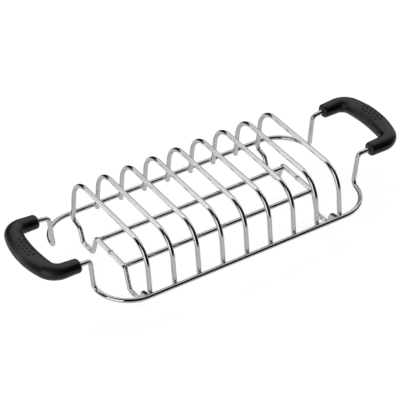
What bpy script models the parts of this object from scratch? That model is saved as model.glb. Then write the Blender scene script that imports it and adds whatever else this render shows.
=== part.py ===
"""Toast rack: nine wire arches welded to a loop frame, with two moulded grips.

Run it with  blender --background --python part.py , or from Blender's text editor.

Frame of the part: metres, X along the rack, Y across it, +Z up. The origin is on the
table, under the middle of the rack. The rack is the same front to back and end to end.
"""

import math

import bmesh
import bpy
from mathutils import Vector

# ---- Driving dimensions, in metres -------------------------------------------------

# Wire
WIRE_R = 0.00225                # 4.5 mm wire, as an eight-sided bar with this corner radius
WIRE_SIDES = 8
WIRE_FLAT = WIRE_R * math.cos(math.pi / WIRE_SIDES)     # wire axis to one of its flats
GAP = 0.0003                    # kept between pieces that touch
CHORD_ERROR = 0.00015           # how far a bend's straight pieces may miss its arc
PLANE_MERGE = 0.00005           # merge distance where a mirrored half meets itself

# Arches
ARCH_PITCH = 0.0260             # from one arch to the next, so 21.5 mm is left for a slice
INNER_ARCHES = 7                # the plain arches, between the two end rings
ARCH_TOP_Z = 0.0699             # wire axis along the top of an arch
ARCH_BEND_R = 0.0246
LEG_SPLAY = 0.112               # how far a leg moves outwards for each unit it goes down
LEG_TAIL = 0.0020               # how far a leg runs on below the frame's axis

# Frame loop
FRAME_Z = 0.0231                # wire axis of the frame's long sides
FRAME_Y = 0.0712
FRAME_CORNER = (0.1376, 0.0712)     # where a side and an end would meet without the bend
FRAME_CORNER_R = 0.0346
UPRIGHT_FOOT = (0.1430, 0.0358, 0.0242)     # the wire turns up here towards the grip
UPRIGHT_FOOT_R = 0.0058
UPRIGHT_HEAD = (0.1464, 0.0367, 0.0575)     # and turns out here
UPRIGHT_HEAD_R = 0.0048

# End rings, in the Y-Z plane, from the frame down to the foot and up to the platform
LEG_Y = FRAME_Y - 2 * WIRE_FLAT - GAP       # a leg's axis where it passes the frame
RING_SHOULDER_Z = FRAME_Z - 0.0045
RING_KNEE = (0.0556, 0.0156)
FOOT_OUTER_Y = 0.0504
FOOT_INNER_Y = 0.0325
FOOT_Z = WIRE_FLAT
PLATFORM_CORNER = (0.0251, 0.0238)
RING_BEND_R = 0.0042

# Rails, butted between the end rings
RAIL_Y = 0.0225
RAIL_Z = 0.0229

# Grips: a wire-cored handle that is C-shaped in plan, in an upper and a lower shell
GRIP_END_X = 0.1578             # the flat end of an arm
GRIP_ARM_Y = 0.0375
GRIP_END_Z = 0.0585             # height of the parting line at the arm's end
GRIP_RISE = 0.04                # how much the parting line rises for each unit outwards
GRIP_BEND_R = 0.0135            # arm to bar, on the grip's centre line
GRIP_BAR_R = 0.1080             # the bar's bow
GRIP_BAR_X = 0.1903             # the bar's centre line at its middle
ARM_SECTION = (0.0143, 0.0132)      # width and height at the end of an arm
BAR_SECTION = (0.0194, 0.0171)      # width and height in the middle of the bar
SWELL_SHARE = 0.93              # share of the half length over which the section swells
GRIP_END_ROUND = 0.0030
GROOVE_R = (WIRE_R + GAP) / math.cos(math.pi / 8)
SHELL_ARCS = 10                 # straight pieces in a shell's half oval
GROOVE_ARCS = 4

# Grip screws: pan-head, driven up through the lower shell
SCREW_SPREAD_Y = 0.0220         # the outer two, to each side of the middle one
SCREW_OFFSET = 0.0050           # from the wire's axis to the screw's axis
SCREW_HEAD_R = 0.0021
SCREW_HEAD_H = 0.0016
SCREW_SHANK_R = 0.0011
SCREW_SEAT = -0.0040            # the head's seat, from the parting line
SCREW_TIP = 0.0036
SCREW_SEGMENTS = 12


# ---- Materials ---------------------------------------------------------------------

def material(name, colour, roughness, metallic):
    found = bpy.data.materials.get(name)
    if found:
        return found
    made = bpy.data.materials.new(name)
    made.use_nodes = True
    shader = made.node_tree.nodes["Principled BSDF"]
    shader.inputs["Base Color"].default_value = (*colour, 1.0)
    shader.inputs["Roughness"].default_value = roughness
    shader.inputs["Metallic"].default_value = metallic
    made.diffuse_color = (*colour, 1.0)
    return made


def chrome_wire():
    return material("chrome_wire", (0.80, 0.81, 0.82), 0.10, 1.0)


def black_grip():
    return material("black_grip", (0.018, 0.018, 0.019), 0.42, 0.0)


def plain_steel():
    return material("plain_steel", (0.56, 0.57, 0.58), 0.32, 1.0)


# ---- Paths -------------------------------------------------------------------------

def arc_steps(turn, radius):
    """How many straight pieces an arc needs."""
    return max(2, math.ceil(turn / (2 * math.acos(1 - CHORD_ERROR / radius))))


def bent(corners, radii):
    """A wire's axis: straight runs between the corners, with a round bend at each."""
    corners = [Vector(corner) for corner in corners]
    path = [corners[0]]
    for before, corner, after, radius in zip(corners, corners[1:], corners[2:], radii):
        back = (before - corner).normalized()
        ahead = (after - corner).normalized()
        turn = math.pi - back.angle(ahead)
        centre = corner + (back + ahead).normalized() * radius / math.cos(turn / 2)
        start = corner + back * radius * math.tan(turn / 2) - centre
        side = -back * radius
        steps = arc_steps(turn, radius)
        for step in range(steps + 1):
            angle = turn * step / steps
            path.append(centre + start * math.cos(angle) + side * math.sin(angle))
    path.append(corners[-1])
    return path


def grip_height(x):
    return GRIP_END_Z + GRIP_RISE * (x - GRIP_END_X)


def grip_line():
    """The grip's centre line from an arm's end to the middle of the bar, with each
    point's outward direction in plan."""
    lean = math.asin((GRIP_ARM_Y - GRIP_BEND_R) / (GRIP_BAR_R - GRIP_BEND_R))
    bar_x = GRIP_BAR_X - GRIP_BAR_R
    bend_x = bar_x + (GRIP_BAR_R - GRIP_BEND_R) * math.cos(lean)
    bend_y = GRIP_ARM_Y - GRIP_BEND_R
    line = []
    for part in (0.0, 0.5):
        x = GRIP_END_X + (bend_x - GRIP_END_X) * part
        line.append((Vector((x, GRIP_ARM_Y, grip_height(x))), Vector((0, 1, 0))))

    def add_arc(x, y, radius, first, last, skip):
        steps = arc_steps(first - last, radius)
        for step in range(skip, steps + 1):
            angle = first + (last - first) * step / steps
            out = Vector((math.cos(angle), math.sin(angle), 0))
            point = Vector((x, y, 0)) + out * radius
            point.z = grip_height(point.x)
            line.append((point, out))

    add_arc(bend_x, bend_y, GRIP_BEND_R, math.pi / 2, lean, 0)
    add_arc(bar_x, 0, GRIP_BAR_R, lean, 0, 1)
    return line


# ---- Meshes ------------------------------------------------------------------------

def new_mesh(name, bm, sharp_degrees):
    mesh = bpy.data.meshes.new(name)
    bm.to_mesh(mesh)
    bm.free()
    mesh.shade_smooth()
    mesh.set_sharp_from_angle(angle=math.radians(sharp_degrees))
    return mesh


def skin(bm, loops):
    """Joins each loop of vertices to the next with a band of faces."""
    for low, high in zip(loops, loops[1:]):
        count = len(low)
        for k in range(count):
            bm.faces.new((low[k], low[(k + 1) % count], high[(k + 1) % count], high[k]))


def wire_mesh(name, path, side, start_cap, end_cap, end_along=None):
    """An eight-sided wire along a path. Its flats face along side and square to it.
    end_along is the direction of the wire at its end, where a bend stops half-way."""
    bm = bmesh.new()
    loops = []
    last = len(path) - 1
    normal = Vector(side)
    for i, point in enumerate(path):
        along = (path[min(i + 1, last)] - path[max(i - 1, 0)]).normalized()
        if 0 < i < last:
            before = (point - path[i - 1]).normalized()
            after = (path[i + 1] - point).normalized()
            along = (before + after).normalized()
        if i == last and end_along:
            along = Vector(end_along)
        normal = (normal - along * normal.dot(along)).normalized()
        across = along.cross(normal)
        loop = []
        for k in range(WIRE_SIDES):
            angle = 2 * math.pi * (k + 0.5) / WIRE_SIDES
            offset = normal * math.cos(angle) + across * math.sin(angle)
            loop.append(bm.verts.new(point + offset * WIRE_R))
        loops.append(loop)
    skin(bm, loops)
    if start_cap:
        bm.faces.new(loops[0][::-1])
    if end_cap:
        bm.faces.new(loops[-1])
    return new_mesh(name, bm, 50)


def turned_mesh(name, profile):
    """A solid of revolution about Z from (radius, height) points, bottom to top. Its
    first and last points are on the axis."""
    bm = bmesh.new()
    bottom = bm.verts.new((0, 0, profile[0][1]))
    top = bm.verts.new((0, 0, profile[-1][1]))
    loops = []
    for radius, height in profile[1:-1]:
        loop = []
        for k in range(SCREW_SEGMENTS):
            angle = 2 * math.pi * k / SCREW_SEGMENTS
            spot = (radius * math.cos(angle), radius * math.sin(angle), height)
            loop.append(bm.verts.new(spot))
        loops.append(loop)
    skin(bm, loops)
    for k in range(SCREW_SEGMENTS):
        after = (k + 1) % SCREW_SEGMENTS
        bm.faces.new((bottom, loops[0][after], loops[0][k]))
        bm.faces.new((top, loops[-1][k], loops[-1][after]))
    return new_mesh(name, bm, 35)


def shell_outline(width, height):
    """One shell's section as (outward, up) points: half an oval over the parting plane,
    with a half-round groove in it for the wire."""
    plane = GAP / 2
    outline = []
    for k in range(SHELL_ARCS + 1):
        angle = math.pi * k / SHELL_ARCS
        up = plane + (height / 2 - plane) * math.sin(angle)
        outline.append((width / 2 * math.cos(angle), up))
    lip = math.asin(plane / GROOVE_R)
    for k in range(GROOVE_ARCS + 1):
        angle = math.pi - lip - (math.pi - 2 * lip) * k / GROOVE_ARCS
        outline.append((GROOVE_R * math.cos(angle), GROOVE_R * math.sin(angle)))
    return outline


def grip_section(share):
    """Width and height of the grip. share is 0 in the bar's middle, 1 at an arm's end."""
    part = min(1.0, (1 - share) / SWELL_SHARE)
    swell = part * part * (3 - 2 * part)
    width = ARM_SECTION[0] + (BAR_SECTION[0] - ARM_SECTION[0]) * swell
    height = ARM_SECTION[1] + (BAR_SECTION[1] - ARM_SECTION[1]) * swell
    return width, height


def grip_stations():
    """Centre, outward direction, width and height of each section, end to middle."""
    line = grip_line()
    lengths = [0.0]
    for (a, _), (b, _) in zip(line, line[1:]):
        lengths.append(lengths[-1] + (b - a).length)
    total = lengths[-1]
    stations = []
    start, outward = line[0]
    for angle in (0, 30, 60):
        reach = GRIP_END_ROUND * (1 - math.cos(math.radians(angle)))
        inset = GRIP_END_ROUND * (1 - math.sin(math.radians(angle)))
        width, height = grip_section(1 - reach / total)
        centre = start + Vector((reach, 0, GRIP_RISE * reach))
        stations.append((centre, outward, width - 2 * inset, height - 2 * inset))
    centre = start + Vector((GRIP_END_ROUND, 0, GRIP_RISE * GRIP_END_ROUND))
    stations.append((centre, outward, *grip_section(1 - GRIP_END_ROUND / total)))
    for (point, out), length in zip(line[1:], lengths[1:]):
        stations.append((point, out, *grip_section(1 - length / total)))
    return stations


def shell_mesh(name, half):
    """Half of a shell, from an arm's end to the bar's middle. half is 1 for the upper
    shell and -1 for the lower one."""
    bm = bmesh.new()
    loops = []
    for centre, outward, width, height in grip_stations():
        loop = []
        for out, up in shell_outline(width, height):
            spot = centre + outward * (out * half) + Vector((0, 0, up * half))
            loop.append(bm.verts.new(spot))
        loops.append(loop)
    skin(bm, loops)
    bm.faces.new(loops[0][::-1])
    return new_mesh(name, bm, 40)


# ---- Objects -----------------------------------------------------------------------

def add(name, mesh, look, location=(0, 0, 0), parent=None):
    obj = bpy.data.objects.new(name, mesh)
    obj.location = location
    obj.parent = parent
    bpy.context.scene.collection.objects.link(obj)
    if look and not mesh.materials:
        mesh.materials.append(look)
    return obj


def mirror(obj, x, y):
    modifier = obj.modifiers.new("mirror", "MIRROR")
    modifier.use_axis = (x, y, False)
    modifier.use_mirror_merge = True
    modifier.merge_threshold = PLANE_MERGE


def make_frame():
    """One wire: two long sides, four corners, four uprights and a U inside each grip."""
    corners = [
        (0, FRAME_Y, FRAME_Z),
        (*FRAME_CORNER, FRAME_Z),
        UPRIGHT_FOOT,
        UPRIGHT_HEAD,
        (GRIP_END_X, GRIP_ARM_Y, GRIP_END_Z),
    ]
    quarter = bent(corners, (FRAME_CORNER_R, UPRIGHT_FOOT_R, UPRIGHT_HEAD_R))
    quarter += [point for point, _ in grip_line()[1:]]
    mesh = wire_mesh("frame_wire", quarter, (0, 1, 0), False, False, (0, -1, 0))
    mirror(add("frame_wire", mesh, chrome_wire()), True, True)


def arch_top_corner():
    """Where a leg and the arch's top would meet without the bend."""
    return 0, LEG_Y - LEG_SPLAY * (ARCH_TOP_Z - FRAME_Z), ARCH_TOP_Z


def make_arches():
    tail = (0, LEG_Y + LEG_SPLAY * LEG_TAIL, FRAME_Z - LEG_TAIL)
    path = bent([(0, 0, ARCH_TOP_Z), arch_top_corner(), tail], [ARCH_BEND_R])
    mesh = wire_mesh("arch", path, (1, 0, 0), False, True)
    middle = (INNER_ARCHES + 1) / 2
    for number in range(1, INNER_ARCHES + 1):
        x = (number - middle) * ARCH_PITCH
        mirror(add(f"arch_{number}", mesh, chrome_wire(), (x, 0, 0)), False, True)


def make_end_rings():
    """An arch at each end that runs on under the frame to two feet and a platform."""
    corners = [
        (0, 0, ARCH_TOP_Z),
        arch_top_corner(),
        (0, LEG_Y + LEG_SPLAY * (FRAME_Z - RING_SHOULDER_Z), RING_SHOULDER_Z),
        (0, *RING_KNEE),
        (0, FOOT_OUTER_Y, FOOT_Z),
        (0, FOOT_INNER_Y, FOOT_Z),
        (0, *PLATFORM_CORNER),
        (0, 0, PLATFORM_CORNER[1]),
    ]
    path = bent(corners, [ARCH_BEND_R] + [RING_BEND_R] * 5)
    mesh = wire_mesh("end_ring", path, (1, 0, 0), False, False)
    reach = (INNER_ARCHES + 1) / 2 * ARCH_PITCH
    for side, x in (("left", -reach), ("right", reach)):
        mirror(add(f"end_ring_{side}", mesh, chrome_wire(), (x, 0, 0)), False, True)


def make_rails():
    half = (INNER_ARCHES + 1) / 2 * ARCH_PITCH - WIRE_FLAT - GAP
    path = [Vector((-half, 0, 0)), Vector((half, 0, 0))]
    mesh = wire_mesh("rail", path, (0, 1, 0), True, True)
    for side, y in (("front", -RAIL_Y), ("back", RAIL_Y)):
        add(f"rail_{side}", mesh, chrome_wire(), (0, y, RAIL_Z))


def screw_spot(y, offset):
    """A point beside the bar's wire, on the parting line."""
    angle = math.asin(y / GRIP_BAR_R)
    outward = Vector((math.cos(angle), math.sin(angle), 0))
    spot = Vector((GRIP_BAR_X - GRIP_BAR_R, 0, 0)) + outward * (GRIP_BAR_R + offset)
    spot.z = grip_height(spot.x)
    return spot


def screw_mesh():
    top = SCREW_SEAT - GAP
    bottom = top - SCREW_HEAD_H
    crown = SCREW_HEAD_R * 0.80
    return turned_mesh("grip_screw", [
        (0, bottom),
        (crown, bottom),
        (SCREW_HEAD_R, bottom + SCREW_HEAD_H * 0.45),
        (SCREW_HEAD_R, top),
        (SCREW_SHANK_R, top),
        (SCREW_SHANK_R, SCREW_TIP - SCREW_SHANK_R),
        (0, SCREW_TIP),
    ])


def screw_hole_mesh():
    """The space that a screw needs: a pocket for the head, then a hole for the shank."""
    hole_r = SCREW_SHANK_R + GAP
    pocket_r = SCREW_HEAD_R + GAP
    below = -BAR_SECTION[1]
    end = SCREW_TIP + 2 * GAP
    return turned_mesh("screw_hole", [
        (0, below),
        (pocket_r, below),
        (pocket_r, SCREW_SEAT),
        (hole_r, SCREW_SEAT),
        (hole_r, end),
        (0, end),
    ])


def cut(obj, cutter):
    modifier = obj.modifiers.new("cut", "BOOLEAN")
    modifier.operation = "DIFFERENCE"
    modifier.object = cutter


def make_grips():
    upper = shell_mesh("grip_upper", 1)
    lower = shell_mesh("grip_lower", -1)
    screw = screw_mesh()
    hole = screw_hole_mesh()
    spots = {
        "front": screw_spot(-SCREW_SPREAD_Y, SCREW_OFFSET),
        "middle": screw_spot(0, -SCREW_OFFSET),
        "back": screw_spot(SCREW_SPREAD_Y, SCREW_OFFSET),
    }
    for side, turn in (("right", 0), ("left", math.pi)):
        holder = add(f"grip_{side}", None, None)
        holder.rotation_euler.z = turn
        shells = [
            add(f"grip_upper_{side}", upper, black_grip(), parent=holder),
            add(f"grip_lower_{side}", lower, black_grip(), parent=holder),
        ]
        for shell in shells:
            mirror(shell, False, True)
        for place, spot in spots.items():
            if side == "left":
                place = {"front": "back", "back": "front"}.get(place, place)
            name = f"grip_screw_{side}_{place}"
            add(name, screw, plain_steel(), spot, holder)
            cutter = add(f"cutter_{side}_{place}", hole, None, spot, holder)
            cutter.hide_render = True
            cutter.display_type = "WIRE"
            for shell in shells:
                cut(shell, cutter)


def main():
    for obj in list(bpy.data.objects):
        bpy.data.objects.remove(obj)
    make_frame()
    make_end_rings()
    make_arches()
    make_rails()
    make_grips()


main()
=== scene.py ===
"""Looks of the toast rack: smooth chrome wires with their welds, moulded grips with
raised nubs, and the grip screws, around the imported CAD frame.

Metres, X along the rack, Y across it, +Z up. The origin is on the table, under the middle.
"""
import math
import random

import bmesh
import bpy
from mathutils import Matrix, Vector


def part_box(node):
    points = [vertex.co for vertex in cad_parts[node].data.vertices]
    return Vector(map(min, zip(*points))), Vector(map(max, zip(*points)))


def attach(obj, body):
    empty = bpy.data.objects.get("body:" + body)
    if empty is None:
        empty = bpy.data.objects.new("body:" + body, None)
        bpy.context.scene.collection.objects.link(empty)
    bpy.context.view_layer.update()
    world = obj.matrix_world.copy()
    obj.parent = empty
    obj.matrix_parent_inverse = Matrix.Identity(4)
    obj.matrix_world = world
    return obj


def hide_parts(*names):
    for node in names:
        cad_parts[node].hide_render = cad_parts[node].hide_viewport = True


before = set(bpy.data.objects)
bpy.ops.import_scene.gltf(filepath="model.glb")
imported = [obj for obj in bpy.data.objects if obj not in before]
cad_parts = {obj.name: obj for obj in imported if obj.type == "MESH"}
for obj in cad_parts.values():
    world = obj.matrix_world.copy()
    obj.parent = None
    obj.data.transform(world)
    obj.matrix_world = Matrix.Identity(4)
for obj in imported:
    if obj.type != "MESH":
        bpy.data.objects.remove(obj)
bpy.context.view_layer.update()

# ---- Sizes, in metres --------------------------------------------------------------

WIRE_R = 0.00225
WIRE_SIDES = 28
CHORD_ERROR = 0.00002           # how far a bend's straight pieces may miss its arc
FLAT = WIRE_R * math.cos(math.pi / 8)       # CAD wire axis to its flat, for the boxes
GAP = 0.0003

ARCH_BEND_R = 0.0246
LEG_SPLAY = 0.112
WELD_SINK = 0.0006              # how far a leg and the frame are pressed together
TAIL_ROUND = 0.0004
TAIL_DOME = 1.35                # how far a cut end's middle stands out, in TAIL_ROUNDs
LEG_BEAD = (0.0025, 0.0022)     # half length along the frame and half height
LEG_BEAD_DEPTH = 0.00085
BUTT_WELD = (0.0015, 0.00065)   # half length and height of the ridge
RAIL_WELD = (0.0007, 0.00055)   # length and height of a rail's swollen end
RAIL_SINK = 0.0002              # from the CAD ring's side to a rail's rounded end
RAIL_SPOTS = (0.0004, 6)        # spacing and count of the rings of points at its end

DENT = 0.00022                  # depth of the deepest tool mark
DENT_SHARE = (0.2, 1.0)         # least and most of that depth
DENT_WIDTH = (0.0004, 0.0008)   # distance over which one fades
DENT_SPACING = (0.0015, 0.0034)
DENT_STEP = 0.00025             # spacing of the rings of points where the dents are
FOOT_RUN = 0.058                # from about the middle of a foot to the platform's
PLAIN_RUN = 0.026               # the last part of that, which has no dents

FRAME_CORNER_X = 0.1376
FRAME_CORNER_R = 0.0346
UPRIGHT_FOOT = (0.1430, 0.0358, 0.0242)
UPRIGHT_FOOT_R = 0.0058
UPRIGHT_HEAD = (0.1464, 0.0367, 0.0575)
UPRIGHT_HEAD_R = 0.0048

RING_SHOULDER_Z = 0.0186
RING_KNEE = (0.0556, 0.0156)
FOOT_OUTER_Y = 0.0504
FOOT_INNER_Y = 0.0325
PLATFORM_CORNER = (0.0251, 0.0238)
RING_BEND_R = 0.0042

GRIP_END_X = 0.1578
GRIP_ARM_Y = 0.0375
GRIP_END_Z = 0.0585
GRIP_RISE = 0.04
GRIP_BEND_R = 0.0135
GRIP_BAR_R = 0.1080
GRIP_BAR_X = 0.1903
ARM_SECTION = (0.0143, 0.0132)
BAR_SECTION = (0.0194, 0.0171)
SWELL_SHARE = 0.93
GRIP_END_ROUND = 0.0030
GROOVE_R = 0.00258
SEAM = 0.00011                  # half of the fine gap between the two shells
SEAM_ROUND = 0.00022
SHELL_ROUND = 5.0               # about the length round its section, in centimetres
SHELL_ARCS = 44
LIP_ARCS = 4
GROOVE_ARCS = 14

NUB_PITCH = 0.0051
NUB_ROWS = ((67.5, 5), (91.0, 6), (114.5, 5))   # degrees round the section, and count
NUB_R = 0.00132
NUB_H = 0.00085
NUB_SEGMENTS = 18
NUB_PROFILE = (                 # radius and height, in NUB_Rs and NUB_Hs
    (1.22, -0.10), (1.16, 0.02), (1.06, 0.10), (0.98, 0.26), (0.90, 0.46),
    (0.78, 0.66), (0.62, 0.83), (0.42, 0.94), (0.20, 0.99),
)
NUB_ROOT = 0.4                  # depth of a nub's base below the bar, in NUB_Hs

SCREW_SPREAD_Y = 0.0220
SCREW_OFFSET = 0.0050
SCREW_HEAD_R = 0.0021
SCREW_HEAD_H = 0.0016
SCREW_CORE_R = 0.00078
SCREW_THREAD_R = 0.0011
SCREW_PITCH = 0.00085
SCREW_SEAT = -0.0040
SCREW_TIP = 0.0036
SCREW_HEAD_DOME = (             # radius, and height above the underside of the head
    (0.0006, 0.00002), (0.0012, 0.00012), (0.0016, 0.00030), (0.0019, 0.00060),
    (0.00205, 0.00095),
)
SCREW_HEAD_RIM = (0.00030, 0.00008)         # its lower and upper edges, below the seat
SCREW_POINT = 0.0012            # length of the tapered end
SCREW_POINT_END = (0.00030, 0.0001)         # radius near the tip, and distance from it
SCREW_RECESS = (0.0024, 0.00052, 0.0018)
SCREW_SEGMENTS = 48
THREAD_STEPS = 26               # per turn
THREAD_ENDS = (0.0006, 0.0004)  # distance from the seat and from the tip
THREAD_ROOT = 0.00012           # how far the thread's foot is sunk into the core
THREAD_HALF = 0.00022
THREAD_TAPER = 0.42             # how much the core narrows for each unit of the point
HOLE_CLEARANCE = 0.00005
SAME_SPOT = 0.000002            # points nearer than this are joined after cutting


# ---- Mesh gathering ----------------------------------------------------------------

class Shape:
    """Vertices, faces and UVs of one piece. U runs round a wire and V along it, both in
    centimetres."""

    def __init__(self):
        self.points, self.faces, self.uvs = [], [], []

    def band(self, low, high, count, v_low, v_high, around):
        for k in range(count):
            after = (k + 1) % count
            self.faces.append((low + k, low + after, high + after, high + k))
            a, b = around * k / count, around * (k + 1) / count
            self.uvs.append(((a, v_low), (b, v_low), (b, v_high), (a, v_high)))

    def fan(self, ring, tip, count, turned, v):
        for k in range(count):
            a, b = ring + k, ring + (k + 1) % count
            self.faces.append((b, a, tip) if turned else (a, b, tip))
            self.uvs.append(((0, v),) * 3)

    def build(self, name, sharp=60):
        mesh = bpy.data.meshes.new(name)
        mesh.from_pydata(self.points, [], self.faces)
        layer = mesh.uv_layers.new(name="UVMap")
        flat = [number for face in self.uvs for uv in face for number in uv]
        layer.data.foreach_set("uv", flat)
        mesh.shade_smooth()
        mesh.set_sharp_from_angle(angle=math.radians(sharp))
        obj = bpy.data.objects.new(name, mesh)
        bpy.context.scene.collection.objects.link(obj)
        return obj


def arc_steps(turn, radius):
    """How many straight pieces a bend needs."""
    return max(3, math.ceil(turn / (2 * math.acos(1 - CHORD_ERROR / radius))))


def bent(corners, radii):
    """A wire's axis: straight runs between the corners, with a round bend at each."""
    corners = [Vector(corner) for corner in corners]
    path = [corners[0]]
    for before, corner, after, radius in zip(corners, corners[1:], corners[2:], radii):
        back = (before - corner).normalized()
        ahead = (after - corner).normalized()
        turn = math.pi - back.angle(ahead)
        centre = corner + (back + ahead).normalized() * radius / math.cos(turn / 2)
        start = corner + back * radius * math.tan(turn / 2) - centre
        side = -back * radius
        steps = arc_steps(turn, radius)
        for step in range(steps + 1):
            angle = turn * step / steps
            path.append(centre + start * math.cos(angle) + side * math.sin(angle))
    path.append(corners[-1])
    return path


def with_spots(path, spots):
    """Adds points on the path at the given distances from its start."""
    made, travelled, left = [path[0]], 0.0, sorted(spots)
    for a, b in zip(path, path[1:]):
        run = (b - a).length
        while left and left[0] < travelled + run - 1e-9:
            if left[0] > travelled + 1e-9:
                made.append(a.lerp(b, (left[0] - travelled) / run))
            left.pop(0)
        travelled += run
        made.append(b)
    return made


def lengths_along(path, closed=False):
    """The distance from the start of a path to each of its points."""
    run = [0.0]
    for a, b in zip(path, path[1:]):
        run.append(run[-1] + (b - a).length)
    if closed:
        run.append(run[-1] + (path[0] - path[-1]).length)
    return run


def wire(shape, path, side, swell=None, closed=False):
    """Adds a round wire along a path. swell gives the radius's change at a distance."""
    run = lengths_along(path, closed)
    count, last = len(path), len(path) - 1
    around = 2 * math.pi * WIRE_R * 100
    rings, frames = [], []
    normal = Vector(side)
    for i, point in enumerate(path):
        before = path[i - 1] if i or closed else point
        after = path[(i + 1) % count] if i < last or closed else point
        along = Vector((0, 0, 0))
        if (point - before).length > 0:
            along += (point - before).normalized()
        if (after - point).length > 0:
            along += (after - point).normalized()
        along.normalize()
        normal = (normal - along * normal.dot(along)).normalized()
        frames.append((along, normal))
    twist = 0.0
    if closed:
        along, first = frames[0]
        ended = (normal - along * normal.dot(along)).normalized()
        twist = math.atan2(along.dot(ended.cross(first)), ended.dot(first))
    for i, (point, (along, normal)) in enumerate(zip(path, frames)):
        turned = Matrix.Rotation(twist * i / count, 3, along) @ normal
        across = along.cross(turned)
        radius = WIRE_R + (swell(run[i]) if swell else 0.0)
        rings.append(len(shape.points))
        for k in range(WIRE_SIDES):
            angle = 2 * math.pi * k / WIRE_SIDES
            offset = turned * math.cos(angle) + across * math.sin(angle)
            shape.points.append(point + offset * radius)
    for i in range(last + 1 if closed else last):
        v_low, v_high = run[i] * 100, run[i + 1] * 100
        shape.band(rings[i], rings[(i + 1) % count], WIRE_SIDES, v_low, v_high, around)
    if closed:
        return
    for at_end, i in ((False, 0), (True, last)):
        along, normal = frames[i]
        outward = along if at_end else -along
        cut_end(shape, path[i], outward, normal, rings[i], at_end, run[i])


def cut_end(shape, point, outward, normal, ring, at_end, run):
    """A sheared wire end: a rounded rim, then a slightly domed face."""
    across = outward.cross(normal)
    low = ring
    around = 2 * math.pi * WIRE_R * 100
    for degrees in (25, 50, 75, 90):
        reach = TAIL_ROUND * math.sin(math.radians(degrees))
        radius = WIRE_R - TAIL_ROUND * (1 - math.cos(math.radians(degrees)))
        high = len(shape.points)
        for k in range(WIRE_SIDES):
            angle = 2 * math.pi * k / WIRE_SIDES * (1 if at_end else -1)
            offset = normal * math.cos(angle) + across * math.sin(angle)
            shape.points.append(point + offset * radius + outward * reach)
        pair = (low, high) if at_end else (high, low)
        shape.band(*pair, WIRE_SIDES, run * 100, run * 100 + reach * 100, around)
        low = high
    tip = len(shape.points)
    shape.points.append(point + outward * (TAIL_ROUND * TAIL_DOME))
    shape.fan(low, tip, WIRE_SIDES, not at_end, run * 100)


def bead(shape, centre, axis, wide, long_way, deep, seed):
    """A squeezed-out weld bead: a lens in the contact plane with an uneven rim."""
    axis = Vector(axis).normalized()
    long_way = Vector(long_way)
    long_way = (long_way - axis * axis.dot(long_way)).normalized()
    across = axis.cross(long_way)
    draw = random.Random(seed)
    waves = [(draw.uniform(-0.10, 0.10), draw.uniform(0, 6.28), n) for n in (2, 3, 5)]
    segments, stacks = 20, 10
    bottom = len(shape.points)
    shape.points.append(Vector(centre) - axis * deep)
    rings = []
    for j in range(1, stacks):
        tilt = math.pi * j / stacks - math.pi / 2
        rings.append(len(shape.points))
        for k in range(segments):
            angle = 2 * math.pi * k / segments
            uneven = 1 + sum(a * math.sin(n * angle + p) for a, p, n in waves)
            flat = math.cos(tilt) ** 0.8 * uneven
            shape.points.append(
                Vector(centre)
                + long_way * (math.cos(angle) * wide[0] * flat)
                + across * (math.sin(angle) * wide[1] * flat)
                + axis * (math.sin(tilt) * deep)
            )
    top = len(shape.points)
    shape.points.append(Vector(centre) + axis * deep)
    for low, high in zip(rings, rings[1:]):
        shape.band(low, high, segments, 0, 0.1, 1.0)
    shape.fan(rings[0], bottom, segments, True, 0)
    shape.fan(rings[-1], top, segments, False, 0)


def collar(middle, half, height):
    """The ridge of a butt weld, as a change of radius."""
    def swell(distance):
        off = abs(distance - middle)
        if off > half:
            return 0.0
        share = math.cos(math.pi / 2 * off / half)
        return height * share * share
    return swell


def tool_marks(start, end, mirror, seed):
    """Shallow dents left by the bending tool, as a change of radius. They run from one
    distance to another, and again on the ring's other half, mirrored about a third."""
    draw = random.Random(seed)
    marks = []
    for flipped in (False, True):
        at = start
        while at < end:
            place_at = 2 * mirror - at if flipped else at
            deep = draw.uniform(*DENT_SHARE) * DENT
            marks.append((place_at, deep, draw.uniform(*DENT_WIDTH)))
            at += draw.uniform(*DENT_SPACING)

    def swell(distance):
        return -sum(deep * math.exp(-((distance - at) / wide) ** 2)
                    for at, deep, wide in marks if abs(distance - at) < 3 * wide)
    return swell


# ---- Materials ---------------------------------------------------------------------

def tree(name):
    made = bpy.data.materials.new(name)
    made.use_nodes = True
    nodes, links = made.node_tree.nodes, made.node_tree.links
    return made, nodes, links, nodes["Principled BSDF"]


def node(nodes, kind, **values):
    made = nodes.new("ShaderNode" + kind)
    for key, value in values.items():
        if key in made.inputs:
            made.inputs[key].default_value = value
        else:
            setattr(made, key, value)
    return made


def ramp(nodes, links, source, stops):
    made = nodes.new("ShaderNodeValToRGB")
    band = made.color_ramp
    for i, (position, colour) in enumerate(stops):
        stop = band.elements[i] if i < 2 else band.elements.new(position)
        stop.position, stop.color = position, (*colour, 1.0)
    links.new(source, made.inputs["Fac"])
    return made.outputs["Color"]


def scaled_uv(nodes, links, scale):
    uv = node(nodes, "UVMap", uv_map="UVMap")
    mapping = nodes.new("ShaderNodeMapping")
    mapping.inputs["Scale"].default_value = scale
    links.new(uv.outputs["UV"], mapping.inputs["Vector"])
    return mapping.outputs["Vector"]


def roughness(nodes, links, source, shader, given, wanted):
    """Maps a pattern from the given range to the wanted roughness."""
    rough = nodes.new("ShaderNodeMapRange")
    for key, value in zip(("From Min", "From Max", "To Min", "To Max"), given + wanted):
        rough.inputs[key].default_value = value
    links.new(source, rough.inputs["Value"])
    links.new(rough.outputs["Result"], shader.inputs["Roughness"])


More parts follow.
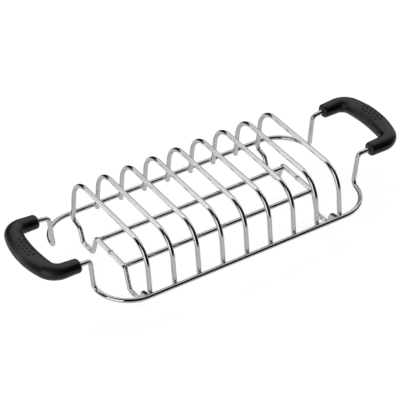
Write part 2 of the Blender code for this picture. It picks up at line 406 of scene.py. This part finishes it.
def chrome():
    made, nodes, links, shader = tree("bright_chrome")
    shader.inputs["Metallic"].default_value = 1.0
    drawn = node(nodes, "TexNoise", Scale=1.0, Detail=3.0, Roughness=0.6)
    links.new(scaled_uv(nodes, links, (16.0, 0.5, 1.0)), drawn.inputs["Vector"])
    spots = node(nodes, "TexCoord")
    wavy = node(nodes, "TexNoise", Scale=260.0, Detail=2.0, Roughness=0.5)
    links.new(spots.outputs["Object"], wavy.inputs["Vector"])
    cloud = node(nodes, "TexNoise", Scale=55.0, Detail=4.0, Roughness=0.65)
    links.new(spots.outputs["Object"], cloud.inputs["Vector"])
    tint = ramp(nodes, links, cloud.outputs["Fac"],
                ((0.30, (0.585, 0.590, 0.597)), (0.70, (0.625, 0.629, 0.634))))
    links.new(tint, shader.inputs["Base Color"])
    roughness(nodes, links, drawn.outputs["Fac"], shader, (0.35, 0.75), (0.02, 0.08))
    fine = node(nodes, "Bump", Strength=0.05, Distance=0.00006)
    links.new(drawn.outputs["Fac"], fine.inputs["Height"])
    soft = node(nodes, "Bump", Strength=0.10, Distance=0.0004)
    links.new(wavy.outputs["Fac"], soft.inputs["Height"])
    links.new(fine.outputs["Normal"], soft.inputs["Normal"])
    links.new(soft.outputs["Normal"], shader.inputs["Normal"])
    return made


def black():
    made, nodes, links, shader = tree("satin_black")
    spots = node(nodes, "TexCoord")
    grain = node(nodes, "TexNoise", Scale=2600.0, Detail=2.0, Roughness=0.55)
    links.new(spots.outputs["Object"], grain.inputs["Vector"])
    cloud = node(nodes, "TexNoise", Scale=60.0, Detail=4.0, Roughness=0.6)
    links.new(spots.outputs["Object"], cloud.inputs["Vector"])
    tint = ramp(nodes, links, cloud.outputs["Fac"],
                ((0.30, (0.0035, 0.0035, 0.0038)), (0.72, (0.0080, 0.0080, 0.0084))))
    links.new(tint, shader.inputs["Base Color"])
    roughness(nodes, links, cloud.outputs["Fac"], shader, (0.3, 0.7), (0.30, 0.45))
    bump = node(nodes, "Bump", Strength=0.22, Distance=0.00005)
    links.new(grain.outputs["Fac"], bump.inputs["Height"])
    links.new(bump.outputs["Normal"], shader.inputs["Normal"])
    return made


def steel():
    made, nodes, links, shader = tree("zinc_steel")
    shader.inputs["Metallic"].default_value = 1.0
    spots = node(nodes, "TexCoord")
    spangle = node(nodes, "TexVoronoi", Scale=2400.0)
    links.new(spots.outputs["Object"], spangle.inputs["Vector"])
    cloud = node(nodes, "TexNoise", Scale=900.0, Detail=4.0, Roughness=0.6)
    links.new(spots.outputs["Object"], cloud.inputs["Vector"])
    tint = ramp(nodes, links, cloud.outputs["Fac"],
                ((0.30, (0.44, 0.45, 0.47)), (0.70, (0.58, 0.59, 0.60))))
    links.new(tint, shader.inputs["Base Color"])
    roughness(nodes, links, spangle.outputs["Distance"], shader, (0.0, 1.0), (0.24, 0.42))
    bump = node(nodes, "Bump", Strength=0.15, Distance=0.00004)
    links.new(cloud.outputs["Fac"], bump.inputs["Height"])
    links.new(bump.outputs["Normal"], shader.inputs["Normal"])
    return made


LOOKS = {"chrome_wire": chrome(), "black_grip": black(), "plain_steel": steel()}


def place(piece, slot, *nodes):
    """Gives a piece its looks, hides the CAD nodes it stands for and hangs it on the root
    body.
    """
    piece.data.materials.append(LOOKS[slot])
    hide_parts(*nodes)
    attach(piece, "root")


# ---- Wires -------------------------------------------------------------------------

def middle_of(name):
    low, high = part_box(name)
    return [(a + b) / 2 for a, b in zip(low, high)]


frame_low, frame_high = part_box("frame_wire")
FRAME_Z = frame_low[2] + FLAT
FRAME_Y = frame_high[1] - FLAT
LEG_Y = FRAME_Y - 2 * WIRE_R + WELD_SINK
ARCH_TOP_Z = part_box("arch_1")[1][2] - FLAT
TAIL_END_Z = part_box("arch_1")[0][2]


def flip(path, x, y):
    """Mirrors a path in X, in Y or in both. x and y are 1 or -1."""
    return [Vector((x * p.x, y * p.y, p.z)) for p in path]


def arch_half(*more, radii=()):
    """Half of an arch's axis, from the middle of its top through the given corners."""
    top = (0, LEG_Y - LEG_SPLAY * (ARCH_TOP_Z - FRAME_Z), ARCH_TOP_Z)
    return bent([(0, 0, ARCH_TOP_Z), top, *more], [ARCH_BEND_R, *radii])


def leg_point(z):
    """The point on a splayed leg's axis at a height."""
    return 0, LEG_Y + LEG_SPLAY * (FRAME_Z - z), z


def leg_welds(shape, seed):
    """The beads where both legs are pressed into the frame's long sides."""
    for side in (-1, 1):
        contact = (0, side * (LEG_Y + WIRE_R - WELD_SINK / 2), FRAME_Z)
        bead(shape, contact, (0, side, 0), LEG_BEAD, (1, 0, 0), LEG_BEAD_DEPTH,
             seed * 2 + side)


def make_arches():
    half = arch_half(leg_point(TAIL_END_Z + TAIL_ROUND))
    whole = flip(half[:0:-1], 1, -1) + half
    for number in range(1, 8):
        name = f"arch_{number}"
        shape = Shape()
        wire(shape, whole, (1, 0, 0))
        leg_welds(shape, number)
        x = middle_of(name)[0]
        shape.points = [p + Vector((x, 0, 0)) for p in shape.points]
        place(shape.build(f"{name}_wire"), "chrome_wire", name)


def make_rings():
    half = arch_half(
        leg_point(RING_SHOULDER_Z),
        (0, *RING_KNEE),
        (0, FOOT_OUTER_Y, WIRE_R),
        (0, FOOT_INNER_Y, WIRE_R),
        (0, *PLATFORM_CORNER),
        (0, 0, PLATFORM_CORNER[1]),
        radii=[RING_BEND_R] * 5,
    )
    half_run = lengths_along(half)[-1]
    foot = half_run - FOOT_RUN
    half = with_spots(half, [foot + DENT_STEP * k for k in range(int(FOOT_RUN / DENT_STEP))])
    whole = half + flip(half[-2:0:-1], 1, -1)
    for number, side in enumerate(("left", "right")):
        name = f"end_ring_{side}"
        shape = Shape()
        ridge = collar(half_run, *BUTT_WELD)
        dents = tool_marks(foot, half_run - PLAIN_RUN, half_run, 40 + number)
        wire(shape, whole, (1, 0, 0), lambda s: ridge(s) + dents(s), closed=True)
        leg_welds(shape, 20 + number)
        x = middle_of(name)[0]
        shape.points = [p + Vector((x, 0, 0)) for p in shape.points]
        place(shape.build(f"{name}_wire"), "chrome_wire", name)


def make_rails():
    for side in ("front", "back"):
        name = f"rail_{side}"
        low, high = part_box(name)
        _, y, z = middle_of(name)
        reach = high[0] + GAP + RAIL_SINK
        spacing, count = RAIL_SPOTS
        spots = [spacing * (k + 1) for k in range(count)]
        spots += [2 * reach - s for s in spots]
        path = with_spots([Vector((-reach, y, z)), Vector((reach, y, z))], spots)

        def swell(distance):
            off = min(distance, 2 * reach - distance)
            return RAIL_WELD[1] * math.exp(-(off / RAIL_WELD[0]) ** 2)

        shape = Shape()
        wire(shape, path, (0, 1, 0), swell)
        place(shape.build(f"{name}_wire"), "chrome_wire", name)


def grip_height(x):
    """The height of a grip's centre line, which rises outwards."""
    return GRIP_END_Z + GRIP_RISE * (x - GRIP_END_X)


def grip_line():
    """The grip's centre line from an arm's end to the middle of the bar, with each
    point's outward direction in plan."""
    lean = math.asin((GRIP_ARM_Y - GRIP_BEND_R) / (GRIP_BAR_R - GRIP_BEND_R))
    bar_x = GRIP_BAR_X - GRIP_BAR_R
    bend_x = bar_x + (GRIP_BAR_R - GRIP_BEND_R) * math.cos(lean)
    bend_y = GRIP_ARM_Y - GRIP_BEND_R
    line = []
    for k in range(6):
        x = GRIP_END_X + (bend_x - GRIP_END_X) * k / 6
        line.append((Vector((x, GRIP_ARM_Y, grip_height(x))), Vector((0, 1, 0))))

    def add_arc(x, y, radius, first, last, skip, steps):
        for step in range(skip, steps + 1):
            angle = first + (last - first) * step / steps
            out = Vector((math.cos(angle), math.sin(angle), 0))
            point = Vector((x, y, 0)) + out * radius
            point.z = grip_height(point.x)
            line.append((point, out))

    add_arc(bend_x, bend_y, GRIP_BEND_R, math.pi / 2, lean, 0, 20)
    add_arc(bar_x, 0, GRIP_BAR_R, lean, 0, 1, 24)
    return line


def make_frame():
    quarter = bent([
        (0, FRAME_Y, FRAME_Z),
        (FRAME_CORNER_X, FRAME_Y, FRAME_Z),
        UPRIGHT_FOOT,
        UPRIGHT_HEAD,
        (GRIP_END_X, GRIP_ARM_Y, GRIP_END_Z),
    ], (FRAME_CORNER_R, UPRIGHT_FOOT_R, UPRIGHT_HEAD_R))
    quarter += [point for point, _ in grip_line()[1:]]
    back = quarter + flip(quarter[-2::-1], 1, -1)
    front = flip(back[-2:0:-1], -1, 1)
    loop = back + front
    shape = Shape()
    wire(shape, loop, (0, 0, 1), closed=True)
    place(shape.build("frame_loop_wire"), "chrome_wire", "frame_wire")


# ---- Grips -------------------------------------------------------------------------

def grip_section(share):
    """The section's width and height. share is 0 in the middle of the bar and 1 at the
    end of an arm."""
    part = min(1.0, (1 - share) / SWELL_SHARE)
    swell = part * part * (3 - 2 * part)
    width = ARM_SECTION[0] + (BAR_SECTION[0] - ARM_SECTION[0]) * swell
    height = ARM_SECTION[1] + (BAR_SECTION[1] - ARM_SECTION[1]) * swell
    return width, height


def grip_stations():
    """Centre, outward direction, width and height of each section from an arm's end,
    which is rounded, to the middle of the bar."""
    line = grip_line()
    lengths = lengths_along([point for point, _ in line])
    total = lengths[-1]
    stations = []
    start, outward = line[0]
    for angle in range(0, 91, 9):
        reach = GRIP_END_ROUND * (1 - math.cos(math.radians(angle)))
        inset = GRIP_END_ROUND * (1 - math.sin(math.radians(angle)))
        width, height = grip_section(1 - reach / total)
        centre = start + Vector((reach, 0, GRIP_RISE * reach))
        stations.append((centre, outward, width - 2 * inset, height - 2 * inset))
    for (point, out), length in zip(line, lengths):
        if length > GRIP_END_ROUND * 1.2:
            stations.append((point, out, *grip_section(1 - length / total)))
    return stations


def shell_outline(width, height):
    """One shell's section as (outward, up) points: half an oval with a small rounded
    lip at each side, and a half-round groove for the wire."""
    outline = []
    rim = math.asin(min(1.0, (SEAM + SEAM_ROUND) / (height / 2)))
    lip = []
    for k in range(LIP_ARCS):
        bend = math.radians(90 * k / LIP_ARCS)
        edge = width / 2 * math.cos(rim)
        lip.append((edge - SEAM_ROUND * (1 - math.sin(bend)),
                    SEAM + SEAM_ROUND * (1 - math.cos(bend))))
    outline += lip
    for k in range(SHELL_ARCS + 1):
        angle = rim + (math.pi - 2 * rim) * k / SHELL_ARCS
        outline.append((width / 2 * math.cos(angle), height / 2 * math.sin(angle)))
    outline += [(-x, z) for x, z in reversed(lip)]
    start = math.asin(SEAM / GROOVE_R)
    for k in range(GROOVE_ARCS + 1):
        angle = math.pi - start - (math.pi - 2 * start) * k / GROOVE_ARCS
        outline.append((GROOVE_R * math.cos(angle), GROOVE_R * math.sin(angle)))
    return outline


def shell(half):
    """A whole shell for the right grip, as a Shape. half is 1 for the upper shell and
    -1 for the lower one."""
    back = grip_stations()
    front = [(Vector((c.x, -c.y, c.z)), Vector((o.x, -o.y, 0)), w, h)
             for c, o, w, h in reversed(back[:-1])]
    shape = Shape()
    rings, run, travelled, before = [], [], 0.0, None
    for centre, outward, width, height in back + front:
        travelled += (centre - before).length if before else 0.0
        before = centre
        run.append(travelled * 100)
        rings.append(len(shape.points))
        outline = shell_outline(width, height)
        for out, up in outline:
            # the lower shell has the same section, turned half round its line
            spot = centre + outward * (out * half) + Vector((0, 0, up * half))
            shape.points.append(spot)
    count = len(shell_outline(*BAR_SECTION))
    for i in range(len(rings) - 1):
        shape.band(rings[i], rings[i + 1], count, run[i], run[i + 1], SHELL_ROUND)
    for ring, is_first in ((rings[0], True), (rings[-1], False)):
        face = list(range(ring, ring + count))
        if is_first:
            face.reverse()
        shape.faces.append(tuple(face))
        shape.uvs.append(((0, 0),) * count)
    return shape


def nub_spots():
    """Centre, normal and along direction of each nub on the right grip's bar."""
    spots = []
    bar_x = GRIP_BAR_X - GRIP_BAR_R
    total = lengths_along([point for point, _ in grip_line()])[-1]
    for degrees, count in NUB_ROWS:
        tilt = math.radians(degrees)
        for k in range(count):
            y = (k - (count - 1) / 2) * NUB_PITCH
            turn = y / GRIP_BAR_R
            out = Vector((math.cos(turn), math.sin(turn), 0))
            centre = Vector((bar_x, 0, 0)) + out * GRIP_BAR_R
            centre.z = grip_height(centre.x)
            width, height = grip_section(abs(y) / total)
            on = out * (width / 2 * math.cos(tilt))
            on += Vector((0, 0, height / 2 * math.sin(tilt)))
            normal = out * (math.cos(tilt) / width)
            normal = (normal + Vector((0, 0, math.sin(tilt) / height))).normalized()
            spots.append((centre + on, normal, Vector((-out.y, out.x, 0))))
    return spots


def add_nub(shape, spot, normal, along):
    """A low round nub with a soft foot, as a closed solid sunk a little into the bar."""
    across = normal.cross(along)
    rings = []
    for wide, high in NUB_PROFILE:
        rings.append(len(shape.points))
        for k in range(NUB_SEGMENTS):
            angle = 2 * math.pi * k / NUB_SEGMENTS
            offset = along * math.cos(angle) + across * math.sin(angle)
            shape.points.append(spot + offset * (wide * NUB_R) + normal * (high * NUB_H))
    tip = len(shape.points)
    shape.points.append(spot + normal * NUB_H)
    for low, high in zip(rings, rings[1:]):
        shape.band(low, high, NUB_SEGMENTS, 0, 0.1, 1.0)
    shape.fan(rings[-1], tip, NUB_SEGMENTS, False, 0)
    base = len(shape.points)
    shape.points.append(spot - normal * (NUB_ROOT * NUB_H))
    shape.fan(rings[0], base, NUB_SEGMENTS, True, 0)


def screw_spot(y, offset):
    """A screw's place on the right grip's bar, offset outward from its middle line."""
    angle = math.asin(y / GRIP_BAR_R)
    outward = Vector((math.cos(angle), math.sin(angle), 0))
    spot = Vector((GRIP_BAR_X - GRIP_BAR_R, 0, 0)) + outward * (GRIP_BAR_R + offset)
    spot.z = grip_height(spot.x)
    return spot


def turned(name, profile):
    """A solid of revolution about Z, bottom to top, with both ends on the axis."""
    segments = SCREW_SEGMENTS
    bm = bmesh.new()
    bottom = bm.verts.new((0, 0, profile[0][1]))
    top = bm.verts.new((0, 0, profile[-1][1]))
    loops = []
    for radius, height in profile[1:-1]:
        loops.append([bm.verts.new((radius * math.cos(a), radius * math.sin(a), height))
                      for a in (2 * math.pi * k / segments for k in range(segments))])
    for low, high in zip(loops, loops[1:]):
        for k in range(segments):
            after = (k + 1) % segments
            bm.faces.new((low[k], low[after], high[after], high[k]))
    for k in range(segments):
        after = (k + 1) % segments
        bm.faces.new((bottom, loops[0][after], loops[0][k]))
        bm.faces.new((top, loops[-1][k], loops[-1][after]))
    mesh = bpy.data.meshes.new(name)
    bm.to_mesh(mesh)
    bm.free()
    obj = bpy.data.objects.new(name, mesh)
    bpy.context.scene.collection.objects.link(obj)
    return obj


def apply_all(obj):
    """Bakes an object's modifiers into its mesh."""
    bpy.context.view_layer.update()
    seen = obj.evaluated_get(bpy.context.evaluated_depsgraph_get())
    mesh = bpy.data.meshes.new_from_object(seen)
    obj.modifiers.clear()
    old, obj.data = obj.data, mesh
    bpy.data.meshes.remove(old)


def drill(obj, cutters):
    """Cuts the cutters out of an object and joins points that end up together."""
    for cutter in cutters:
        modifier = obj.modifiers.new("cut", "BOOLEAN")
        modifier.operation = "DIFFERENCE"
        modifier.object = cutter
    apply_all(obj)
    bm = bmesh.new()
    bm.from_mesh(obj.data)
    bmesh.ops.remove_doubles(bm, verts=bm.verts, dist=SAME_SPOT)
    bm.to_mesh(obj.data)
    bm.free()


def hole_cutter(spot):
    """The space a screw takes: a pocket from below for its head, then its hole."""
    hole_r = SCREW_THREAD_R + HOLE_CLEARANCE
    pocket_r = SCREW_HEAD_R + GAP
    low, end = -BAR_SECTION[1], SCREW_TIP + 2 * GAP
    cutter = turned("hole_cutter", [
        (0, low), (pocket_r, low), (pocket_r, SCREW_SEAT), (hole_r, SCREW_SEAT),
        (hole_r, end), (0, end)])
    cutter.location = spot
    return cutter


def screw(name, spot, turn):
    """A pan-head self-tapping screw with a cross recess, a coarse thread and a point."""
    top, underside = SCREW_SEAT, SCREW_SEAT - SCREW_HEAD_H
    rim_low, rim_high = SCREW_HEAD_RIM
    point_r, point_off = SCREW_POINT_END
    head = turned("head", [
        (0, underside),
        *((radius, underside + height) for radius, height in SCREW_HEAD_DOME),
        (SCREW_HEAD_R, top - rim_low), (SCREW_HEAD_R, top - rim_high),
        (SCREW_HEAD_R - rim_high, top), (SCREW_CORE_R, top),
        (SCREW_CORE_R, SCREW_TIP - SCREW_POINT), (point_r, SCREW_TIP - point_off),
        (0, SCREW_TIP)])
    slots = []
    for k in range(2):
        bpy.ops.mesh.primitive_cube_add(size=1)
        slot = bpy.context.object
        slot.scale = SCREW_RECESS
        slot.rotation_euler = (0, 0, turn + math.pi / 2 * k)
        slot.location = (0, 0, underside)
        slots.append(slot)
    drill(head, slots)
    for slot in slots:
        bpy.data.objects.remove(slot)
    bm = bmesh.new()
    bm.from_mesh(head.data)
    bpy.data.objects.remove(head)
    start, end = SCREW_SEAT + THREAD_ENDS[0], SCREW_TIP - THREAD_ENDS[1]
    steps = THREAD_STEPS
    total = int((end - start) / SCREW_PITCH * steps)
    rings = []
    for i in range(total + 1):
        z = start + SCREW_PITCH * i / steps
        angle = 2 * math.pi * i / steps
        fade = min(1.0, i / steps, (total - i) / steps)
        core = SCREW_CORE_R
        if z >= SCREW_TIP - SCREW_POINT:
            core -= (z - SCREW_TIP + SCREW_POINT) * THREAD_TAPER
        crest = core + (SCREW_THREAD_R - SCREW_CORE_R) * fade
        out = Vector((math.cos(angle), math.sin(angle), 0))
        root = out * (core - THREAD_ROOT)
        tri = [root + Vector((0, 0, z - THREAD_HALF)), out * crest + Vector((0, 0, z)),
               root + Vector((0, 0, z + THREAD_HALF))]
        rings.append([bm.verts.new(p) for p in tri])
    for a, b in zip(rings, rings[1:]):
        for k in range(3):
            j = (k + 1) % 3
            bm.faces.new((a[k], b[k], b[j], a[j]))
    bm.faces.new(rings[0])
    bm.faces.new(rings[-1][::-1])
    mesh = bpy.data.meshes.new(name)
    bm.to_mesh(mesh)
    bm.free()
    mesh.shade_smooth()
    mesh.set_sharp_from_angle(angle=math.radians(35))
    obj = bpy.data.objects.new(name, mesh)
    obj.location = spot
    bpy.context.scene.collection.objects.link(obj)
    return obj


def half_turn(points):
    """Turns points of the right grip half a turn about Z, onto the left grip."""
    return [Vector((-p.x, -p.y, p.z)) for p in points]


def make_grips():
    spots = {
        "front": screw_spot(-SCREW_SPREAD_Y, SCREW_OFFSET),
        "middle": screw_spot(0, -SCREW_OFFSET),
        "back": screw_spot(SCREW_SPREAD_Y, SCREW_OFFSET),
    }
    for side in ("right", "left"):
        mirrored = side == "left"
        for half, name in ((1, "upper"), (-1, "lower")):
            shape = shell(half)
            if mirrored:
                shape.points = half_turn(shape.points)
            piece = shape.build(f"grip_{name}_{side}_shell", 40)
            bm = bmesh.new()
            bm.from_mesh(piece.data)
            bmesh.ops.recalc_face_normals(bm, faces=bm.faces)
            bm.to_mesh(piece.data)
            bm.free()
            cutters = []
            for spot in spots.values():
                spot = half_turn([spot])[0] if mirrored else spot
                cutters.append(hole_cutter(spot))
            drill(piece, cutters)
            for cutter in cutters:
                bpy.data.objects.remove(cutter)
            if half == 1:
                add_nubs_to(piece, mirrored)
            piece.data.shade_smooth()
            piece.data.set_sharp_from_angle(angle=math.radians(40))
            place(piece, "black_grip", f"grip_{name}_{side}")
        for number, (where, spot) in enumerate(spots.items()):
            if mirrored:
                where = {"front": "back", "back": "front"}.get(where, where)
                spot = half_turn([spot])[0]
            node_name = f"grip_screw_{side}_{where}"
            made = screw(f"{node_name}_detail", spot, 0.4 + 0.9 * number)
            place(made, "plain_steel", node_name)


def add_nubs_to(piece, mirrored):
    """Adds all the nubs to an upper shell's mesh."""
    nubs = Shape()
    for spot, normal, along in nub_spots():
        add_nub(nubs, spot, normal, along)
    if mirrored:
        nubs.points = half_turn(nubs.points)
    extra = nubs.build("nubs")
    bm = bmesh.new()
    bm.from_mesh(piece.data)
    bm.from_mesh(extra.data)
    bm.to_mesh(piece.data)
    bm.free()
    bpy.data.objects.remove(extra)


make_frame()
make_rings()
make_arches()
make_rails()
make_grips()


# ---- Floor, light and camera -------------------------------------------------------

CAMERA_AZIMUTH = -33.18
CAMERA_ELEVATION = 37.14
CAMERA_ROLL = 0.04
CAMERA_OFFSET = (-0.005971, 0.030787, 1.9268)   # in the camera's own axes
CAMERA_AIM_Z = 0.00208
CAMERA_LENS = 185.07
CAMERA_SENSOR = 36
FLOOR_SIZE = 12
FLOOR_GLOW = 0.79
SOFTBOX_DISTANCE = 3.0


def make_camera():
    azimuth, elevation = math.radians(CAMERA_AZIMUTH), math.radians(CAMERA_ELEVATION)
    back = Vector((math.sin(azimuth) * math.cos(elevation),
                   -math.cos(azimuth) * math.cos(elevation), math.sin(elevation)))
    right = Vector((math.cos(azimuth), math.sin(azimuth), 0))
    up = back.cross(right)
    roll = math.radians(CAMERA_ROLL)
    right, up = (right * math.cos(roll) + up * math.sin(roll),
                 up * math.cos(roll) - right * math.sin(roll))
    data = bpy.data.cameras.new("camera")
    data.lens = CAMERA_LENS
    data.sensor_width = CAMERA_SENSOR
    data.clip_start, data.clip_end = 0.05, 50
    camera = bpy.data.objects.new("camera", data)
    turn = Matrix((right, up, back)).transposed()
    place_at = Vector((0, 0, CAMERA_AIM_Z)) + turn @ Vector(CAMERA_OFFSET)
    camera.matrix_world = Matrix.Translation(place_at) @ turn.to_4x4()
    bpy.context.scene.collection.objects.link(camera)
    bpy.context.scene.camera = camera


def make_floor():
    bpy.ops.mesh.primitive_plane_add(size=FLOOR_SIZE)
    floor = bpy.context.object
    floor.name = "floor"
    made = bpy.data.materials.new("pale_floor")
    made.use_nodes = True
    shader = made.node_tree.nodes["Principled BSDF"]
    shader.inputs["Base Color"].default_value = (0.60, 0.60, 0.60, 1)
    shader.inputs["Roughness"].default_value = 0.9
    shader.inputs["Specular IOR Level"].default_value = 0.0
    shader.inputs["Emission Color"].default_value = (1, 1, 1, 1)
    shader.inputs["Emission Strength"].default_value = FLOOR_GLOW
    floor.data.materials.append(made)
    floor.visible_glossy = False
    floor.visible_diffuse = False


def softbox(name, azimuth, elevation, wide, high, radiance):
    """A rectangular softbox aimed at the rack from a direction, in degrees, with its
    width and height as angles and the same brightness all over."""
    turn, rise = math.radians(azimuth), math.radians(elevation)
    away = Vector((math.sin(turn) * math.cos(rise), math.cos(turn) * math.cos(rise),
                   math.sin(rise)))
    width = 2 * SOFTBOX_DISTANCE * math.tan(math.radians(wide / 2))
    height = 2 * SOFTBOX_DISTANCE * math.tan(math.radians(high / 2))
    data = bpy.data.lights.new(name, "AREA")
    data.shape = "RECTANGLE"
    data.size, data.size_y = width, height
    data.energy = radiance * math.pi * width * height
    light = bpy.data.objects.new(name, data)
    light.location = away * SOFTBOX_DISTANCE
    light.rotation_euler = away.to_track_quat("Z", "Y").to_euler()
    light.visible_camera = False
    bpy.context.scene.collection.objects.link(light)


# The room as seen in the wires: azimuths from +Y towards +X and elevations, both in
# degrees, then the soft edge's width in degrees and the radiance. Later ones cover
# earlier ones.
ROOM = (
    (104, 140, 2, 62, 14, 0.045),
    (124, 154, -15, 6, 10, 0.02),
    (22, 90, -2, 60, 9, 1.10),
    (22, 60, -10, 17, 9, 0.08),
    (-42, 102, 30, 76, 9, 1.17),
)
TABLE = (0.893, 0.874)          # radiance of the table in front and behind
TABLE_SPAN = 0.9                # Y of the directions where it reaches those
TABLE_EDGE = (-19, 1)           # elevations between which it fades into the dark room
DARK_SHARE = 0.008              # what is left of it above that


def make_world():
    """The camera sees a plain white room. Everything else sees the table and ROOM."""
    world = bpy.data.worlds.new("studio")
    bpy.context.scene.world = world
    world.use_nodes = True
    nodes, links = world.node_tree.nodes, world.node_tree.links
    nodes.clear()
    ray = nodes.new("ShaderNodeTexCoord").outputs["Generated"]
    split = nodes.new("ShaderNodeSeparateXYZ")
    links.new(ray, split.inputs[0])

    def math_node(kind, a, b=None):
        made = nodes.new("ShaderNodeMath")
        made.operation = kind
        for number, value in enumerate((a, b)):
            if isinstance(value, (int, float)):
                made.inputs[number].default_value = value
            elif value is not None:
                links.new(value, made.inputs[number])
        return made.outputs[0]

    def step(value, low, high, to_low, to_high):
        made = nodes.new("ShaderNodeMapRange")
        made.interpolation_type = "SMOOTHSTEP"
        for key, number in (("From Min", low), ("From Max", high), ("To Min", to_low),
                            ("To Max", to_high)):
            made.inputs[key].default_value = number
        links.new(value, made.inputs["Value"])
        return made.outputs["Result"]

    azimuth = math_node("ARCTAN2", split.outputs["X"], split.outputs["Y"])
    azimuth = math_node("MULTIPLY", azimuth, 180 / math.pi)
    elevation = math_node("ARCSINE", split.outputs["Z"])
    elevation = math_node("MULTIPLY", elevation, 180 / math.pi)
    table = step(split.outputs["Y"], -TABLE_SPAN, TABLE_SPAN, *TABLE)
    total = math_node("MULTIPLY", table, step(elevation, *TABLE_EDGE, 1.0, DARK_SHARE))
    for az_low, az_high, el_low, el_high, soft, radiance in ROOM:
        half = soft / 2
        share = step(azimuth, az_low - half, az_low + half, 0, 1)
        for value, edge, ends in ((azimuth, az_high, (1, 0)), (elevation, el_low, (0, 1)),
                                  (elevation, el_high, (1, 0))):
            edge = step(value, edge - half, edge + half, *ends)
            share = math_node("MULTIPLY", share, edge)
        kept = math_node("MULTIPLY", total, math_node("SUBTRACT", 1, share))
        total = math_node("ADD", kept, math_node("MULTIPLY", share, radiance))
    lit = nodes.new("ShaderNodeBackground")
    links.new(total, lit.inputs["Strength"])
    seen = nodes.new("ShaderNodeBackground")
    seen.inputs["Color"].default_value = (1.0, 1.0, 1.0, 1)
    path = nodes.new("ShaderNodeLightPath")
    mix = nodes.new("ShaderNodeMixShader")
    links.new(path.outputs["Is Camera Ray"], mix.inputs[0])
    links.new(lit.outputs[0], mix.inputs[1])
    links.new(seen.outputs[0], mix.inputs[2])
    out = nodes.new("ShaderNodeOutputWorld")
    links.new(mix.outputs[0], out.inputs[0])


def make_lights():
    softbox("overhead_softbox", -18, 54, 34, 18, 0.40)
    softbox("left_softbox", -114, 16, 41, 56, 1.36)
    softbox("back_left_strip", -49.5, 17, 13.5, 70, 1.36)


bpy.context.scene.view_settings.view_transform = "Standard"
make_camera()
make_floor()
make_world()
make_lights()
